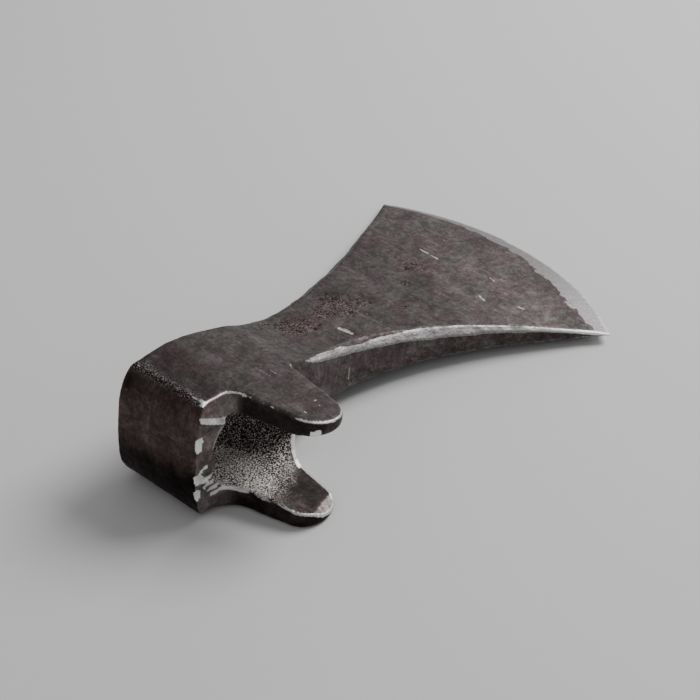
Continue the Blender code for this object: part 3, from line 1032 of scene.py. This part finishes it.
class Nodes:
    """Shorthand for building one material's node tree."""

    def __init__(self, name):
        self.material = bpy.data.materials.new(name)
        self.material.use_nodes = True
        self.tree = self.material.node_tree
        self.shader = self.tree.nodes["Principled BSDF"]

    def put(self, value, socket):
        if isinstance(value, bpy.types.NodeSocket):
            self.tree.links.new(value, socket)
        else:
            socket.default_value = value

    def mark(self, name):
        node = self.tree.nodes.new("ShaderNodeAttribute")
        node.attribute_name = name
        return node.outputs["Fac"]

    def noise(self, size, detail, roughness, stretch, turn):
        """Noise with bumps of about this size in millimetres, stretched and turned on the object."""
        where = self.tree.nodes.new("ShaderNodeTexCoord")
        mapping = self.tree.nodes.new("ShaderNodeMapping")
        mapping.inputs["Rotation"].default_value = [math.radians(angle) for angle in turn]
        mapping.inputs["Scale"].default_value = stretch
        self.tree.links.new(where.outputs["Object"], mapping.inputs["Vector"])
        node = self.tree.nodes.new("ShaderNodeTexNoise")
        self.tree.links.new(mapping.outputs["Vector"], node.inputs["Vector"])
        node.inputs["Scale"].default_value = MM_PER_METRE / size
        node.inputs["Detail"].default_value = detail
        node.inputs["Roughness"].default_value = roughness
        return node.outputs["Fac"]

    def sum(self, operation, first, second, third=0.0):
        node = self.tree.nodes.new("ShaderNodeMath")
        node.operation = operation
        for value, socket in zip((first, second, third), node.inputs):
            self.put(value, socket)
        return node.outputs["Value"]

    def step(self, value, low, high, start=0.0, end=1.0):
        """Rises smoothly from start to end while the value goes from low to high."""
        node = self.tree.nodes.new("ShaderNodeMapRange")
        node.interpolation_type = "SMOOTHSTEP"
        for given, socket in zip((value, low, high, start, end), node.inputs):
            self.put(given, socket)
        return node.outputs["Result"]

    def blend(self, share, first, second):
        """A colour between two colours."""
        node = self.tree.nodes.new("ShaderNodeMix")
        node.data_type = "RGBA"
        self.put(share, node.inputs[0])
        for colour, socket in ((first, node.inputs[6]), (second, node.inputs[7])):
            linked = isinstance(colour, bpy.types.NodeSocket)
            self.put(colour if linked else (*colour, 1.0), socket)
        return node.outputs[2]

    def lighter(self, share, colour, factor):
        """A colour multiplied by a factor for each of red, green and blue."""
        node = self.tree.nodes.new("ShaderNodeMix")
        node.data_type = "RGBA"
        node.blend_type = "MULTIPLY"
        self.put(share, node.inputs[0])
        self.put(colour, node.inputs[6])
        self.put((*factor, 1.0), node.inputs[7])
        return node.outputs[2]

    def between(self, share, first, second):
        """A number between two numbers."""
        node = self.tree.nodes.new("ShaderNodeMix")
        self.put(share, node.inputs[0])
        self.put(first, node.inputs[2])
        self.put(second, node.inputs[3])
        return node.outputs[0]


# Colours of the iron, as linear light
OLIVE_GREY = (0.100, 0.094, 0.086)
PURPLE_BROWN = (0.106, 0.077, 0.081)
DARK_GREY = (0.042, 0.036, 0.036)
DEEP_BROWN = (0.048, 0.030, 0.028)
# Pale worn patina, also the painted highlights on the pits' rims
PALE_WEAR_AND_HIGHLIGHT = (0.250, 0.218, 0.214)
RUST_RED = (0.112, 0.066, 0.065)
NEAR_BLACK = (0.009, 0.004, 0.004)
GRAIN_DARK = (0.022, 0.009, 0.008)
GRAIN_LIGHT = (1.000, 0.960, 0.920)
BARE_IRON = (0.345, 0.334, 0.330)
BARE_SHADE = (0.240, 0.226, 0.223)
BRIGHT_IRON_AND_HIGHLIGHT = (0.950, 0.940, 0.930)
# The bevel's colour with its painted reflection, and without it
GROUND_IRON_LIT = (0.580, 0.550, 0.553)
GROUND_SHADE = (0.360, 0.335, 0.338)

# What multiplies the patina on the poll, where it is pale (painted light in part) and in the pitted
# fields
POLL_TINT = (1.12, 0.92, 0.88)
PALE_TINT = (2.45, 2.40, 2.42)
PITTED_TINT = (1.7, 1.45, 1.45)

# Noise in the finish: bump size in millimetres, detail, roughness, stretch, turn in degrees
EVEN = (1.0, 1.0, 1.0)
LEVEL = (0, 0, 0)
FINISH_NOISE = {
    "grain": (0.52, 2.0, 0.70, EVEN, LEVEL),
    "pinholes": (0.74, 1.0, 0.50, EVEN, LEVEL),
    "fine": (1.0, 3.0, 0.65, EVEN, LEVEL),
    "ragged": (1.4, 4.0, 0.70, EVEN, LEVEL),
    "small": (2.4, 4.0, 0.65, EVEN, LEVEL),
    "tone": (9.0, 5.0, 0.60, EVEN, LEVEL),
    "hue": (13.0, 5.0, 0.60, EVEN, (40, 0, 70)),
    "scored": (1.5, 4.0, 0.65, (1.0, 0.09, 0.6), (0, 0, 8)),
    "drawn": (2.4, 4.0, 0.65, (0.14, 1.0, 0.6), LEVEL),
    "streaks": (1.8, 3.0, 0.60, (1.0, 1.0, 0.06), LEVEL),
}

# Layers of the patina, from the bottom up: noise, from, to, share at each end, colour
PATINA_LAYERS = (
    ("tone", 0.49, 0.64, 0.0, 0.56, DARK_GREY),
    ("tone", 0.34, 0.49, 0.38, 0.0, PALE_WEAR_AND_HIGHLIGHT),
    ("small", 0.46, 0.68, 0.0, 0.55, DEEP_BROWN),
    ("small", 0.30, 0.48, 0.28, 0.0, PALE_WEAR_AND_HIGHLIGHT),
    ("scored", 0.56, 0.70, 0.0, 0.40, PALE_WEAR_AND_HIGHLIGHT),
    ("drawn", 0.52, 0.68, 0.0, 0.45, DARK_GREY),
    ("fine", 0.48, 0.66, 0.0, 0.50, DEEP_BROWN),
    ("fine", 0.30, 0.44, 0.30, 0.0, PALE_WEAR_AND_HIGHLIGHT),
)

PATINA_METALLIC = 0.70
GRAIN_ROUGHNESS = 0.75
CLEAN_ROUGHNESS = 0.50
BUMP_HEIGHT = 0.0004
BUMP_STRENGTH = 0.6


def patina_of(n, noise):
    """The dark skin of the forged faces, with its pinholes; gives back the holes and shade too."""
    patina = n.blend(n.step(noise["hue"], 0.42, 0.58), OLIVE_GREY, PURPLE_BROWN)
    red = n.sum("MULTIPLY", n.mark("rust"), n.step(noise["tone"], 0.36, 0.60, 0.2, 0.9))
    patina = n.blend(red, patina, RUST_RED)
    for name, low, high, start, end, colour in PATINA_LAYERS:
        patina = n.blend(n.step(noise[name], low, high, start, end), patina, colour)
    streaks = n.step(noise["streaks"], 0.44, 0.62, 0.0, 0.40)
    patina = n.blend(n.sum("MULTIPLY", n.mark("poll"), streaks), patina, DEEP_BROWN)
    patina = n.lighter(n.mark("poll"), patina, POLL_TINT)
    patina = n.lighter(n.mark("pale"), patina, PALE_TINT)

    in_field = n.step(n.mark("pitted"), 0.08, 0.40)
    patina = n.lighter(n.sum("MULTIPLY", in_field, 0.6), patina, PITTED_TINT)
    holes = n.sum("MULTIPLY", n.step(noise["pinholes"], 0.50, 0.57), in_field)
    # Pale specks by the pinholes: painted highlights on the pits' rims
    rims = n.sum("MULTIPLY", n.step(noise["pinholes"], 0.33, 0.43, 0.45, 0.0), in_field)
    patina = n.blend(rims, patina, PALE_WEAR_AND_HIGHLIGHT)
    patina = n.blend(n.sum("MULTIPLY", holes, 0.9), patina, GRAIN_DARK)
    # The dark mark, painted shade in part, pulls the patina towards near black
    shade = n.sum("MULTIPLY", n.mark("dark"), n.step(noise["tone"], 0.25, 0.55, 0.8, 1.0))
    return n.blend(shade, patina, NEAR_BLACK), holes, shade


def bare_metal_and_highlight(n, noise):
    """Worn iron that the patina has come off, with painted highlights on some of it."""
    metal = n.blend(n.step(noise["fine"], 0.40, 0.64), BARE_IRON, BARE_SHADE)
    metal = n.blend(n.step(noise["grain"], 0.30, 0.48, 0.14, 0.0), metal, BRIGHT_IRON_AND_HIGHLIGHT)
    # The bright mark, worn iron that shines and partly painted highlights, goes towards the
    # brightest colour
    return n.blend(n.mark("bright"), metal, BRIGHT_IRON_AND_HIGHLIGHT)


def ground_metal(n, noise):
    """The ground bevel, lighter where it holds the painted reflection."""
    bevel = n.blend(n.mark("bright"), GROUND_SHADE, GROUND_IRON_LIT)
    bevel = n.blend(n.step(noise["grain"], 0.42, 0.62, 0.0, 0.45), bevel, GROUND_SHADE)
    return n.blend(n.sum("MULTIPLY", n.mark("bare_and_highlight"), 0.7), bevel, BRIGHT_IRON_AND_HIGHLIGHT)


def forged_iron():
    n = Nodes("forged_iron")
    noise = {name: n.noise(*values) for name, values in FINISH_NOISE.items()}
    grit = n.mark("grit")

    patina, holes, shade = patina_of(n, noise)
    # The light mark lifts the grains: clean iron, partly painted light
    shown = n.sum("MULTIPLY_ADD", n.mark("light"), 0.075, n.sum("SUBTRACT", noise["grain"], 0.070))
    grains = n.blend(n.step(shown, 0.43, 0.57), GRAIN_DARK, GRAIN_LIGHT)
    colour = n.blend(grit, patina, grains)

    ragged = n.sum("SUBTRACT", noise["ragged"], 0.5)
    bare_and_highlight = n.step(n.sum("MULTIPLY_ADD", ragged, 0.9, n.mark("bare_and_highlight")), 0.36, 0.56)
    colour = n.blend(bare_and_highlight, colour, bare_metal_and_highlight(n, noise))
    uneven = n.sum("SUBTRACT", noise["small"], 0.5)
    ground = n.step(n.sum("MULTIPLY_ADD", uneven, 2.0, n.mark("polish")), 0.38, 0.66)
    colour = n.blend(ground, colour, ground_metal(n, noise))
    n.put(colour, n.shader.inputs["Base Color"])

    clean = n.sum("MAXIMUM", bare_and_highlight, ground)
    metallic = n.between(n.sum("MAXIMUM", clean, shade), PATINA_METALLIC, 1.0)
    n.put(metallic, n.shader.inputs["Metallic"])
    rough = n.step(noise["small"], 0.3, 0.7, 0.46, 0.60)
    rough = n.between(grit, rough, GRAIN_ROUGHNESS)
    n.put(n.between(clean, rough, CLEAN_ROUGHNESS), n.shader.inputs["Roughness"])

    height = n.sum("MULTIPLY_ADD", noise["fine"], 0.5, noise["small"])
    height = n.sum("MULTIPLY_ADD", n.sum("MULTIPLY", noise["grain"], 1.5), grit, height)
    height = n.sum("MULTIPLY_ADD", holes, -0.9, height)
    lines = n.sum("MULTIPLY", noise["scored"], 0.3)
    height = n.sum("MULTIPLY_ADD", lines, n.sum("SUBTRACT", 1.0, grit), height)
    bump = n.tree.nodes.new("ShaderNodeBump")
    bump.inputs["Distance"].default_value = BUMP_HEIGHT
    bump.inputs["Strength"].default_value = BUMP_STRENGTH
    n.put(height, bump.inputs["Height"])
    n.put(bump.outputs["Normal"], n.shader.inputs["Normal"])
    return n.material


def make_head():
    points, faces = head_net()
    slope = gradient(points)
    normals = slope / np.linalg.norm(slope, axis=1)[:, None]
    depth, marks = wear_and_painted_light(points, normals)
    points = lay_down(points - normals * depth[:, None])
    low, high = np.array(cad_box)
    points = np.clip(points, low + BOX_MARGIN, high - BOX_MARGIN)
    head = bpy.data.objects.new("forged_head", make_mesh(points, faces, marks))
    bpy.context.scene.collection.objects.link(head)
    head.data.materials.append(forged_iron())
    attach(head, "root")
    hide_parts("axe_head")


# Floor, light and camera, in metres
FLOOR_REACH = 8.0
FLOOR_COLOUR = (0.86, 0.86, 0.85, 1.0)
FLOOR_ROUGHNESS = 0.9
LAMP_TARGET = (0.02, 0.0, 0.02)
WORLD_COLOUR = (0.94, 0.94, 0.95, 1.0)
WORLD_STRENGTH = 0.30
CAMERA_PLACE = (-0.378755, -0.335607, 0.410000)
CAMERA_TARGET = (-0.016424, -0.010504, 0.0228)
CAMERA_LENS = 87.99
CAMERA_SENSOR = 36.0

# Lamps: name, place, size, power
LAMPS = (
    ("key", (0.85, -0.25, 0.95), 0.7, 13.0),
    ("rim", (1.1, 0.5, 0.4), 0.7, 0.6),
)


def make_floor():
    reach = FLOOR_REACH
    corners = [(-reach, -reach, 0), (reach, -reach, 0), (reach, reach, 0), (-reach, reach, 0)]
    mesh = bpy.data.meshes.new("floor")
    mesh.from_pydata(corners, [], [(0, 1, 2, 3)])
    floor = bpy.data.objects.new("floor", mesh)
    bpy.context.scene.collection.objects.link(floor)
    material = bpy.data.materials.new("pale_floor")
    material.use_nodes = True
    shader = material.node_tree.nodes["Principled BSDF"]
    shader.inputs["Base Color"].default_value = FLOOR_COLOUR
    shader.inputs["Roughness"].default_value = FLOOR_ROUGHNESS
    floor.data.materials.append(material)


def aim(obj, target):
    obj.rotation_euler = (Vector(target) - obj.location).to_track_quat("-Z", "Y").to_euler()


def make_lights():
    for name, place, size, power in LAMPS:
        light = bpy.data.lights.new(name, "AREA")
        light.shape = "DISK"
        light.size = size
        light.energy = power
        lamp = bpy.data.objects.new(name, light)
        bpy.context.scene.collection.objects.link(lamp)
        lamp.location = place
        aim(lamp, LAMP_TARGET)
    world = bpy.data.worlds.new("studio")
    bpy.context.scene.world = world
    world.use_nodes = True
    background = world.node_tree.nodes["Background"]
    background.inputs["Color"].default_value = WORLD_COLOUR
    background.inputs["Strength"].default_value = WORLD_STRENGTH


def make_camera():
    camera = bpy.data.cameras.new("camera")
    camera.sensor_width = CAMERA_SENSOR
    camera.lens = CAMERA_LENS
    obj = bpy.data.objects.new("camera", camera)
    bpy.context.scene.collection.objects.link(obj)
    obj.location = CAMERA_PLACE
    aim(obj, CAMERA_TARGET)
    bpy.context.scene.camera = obj


make_head()
make_floor()
make_lights()
make_camera()

bpy.context.view_layer.update()
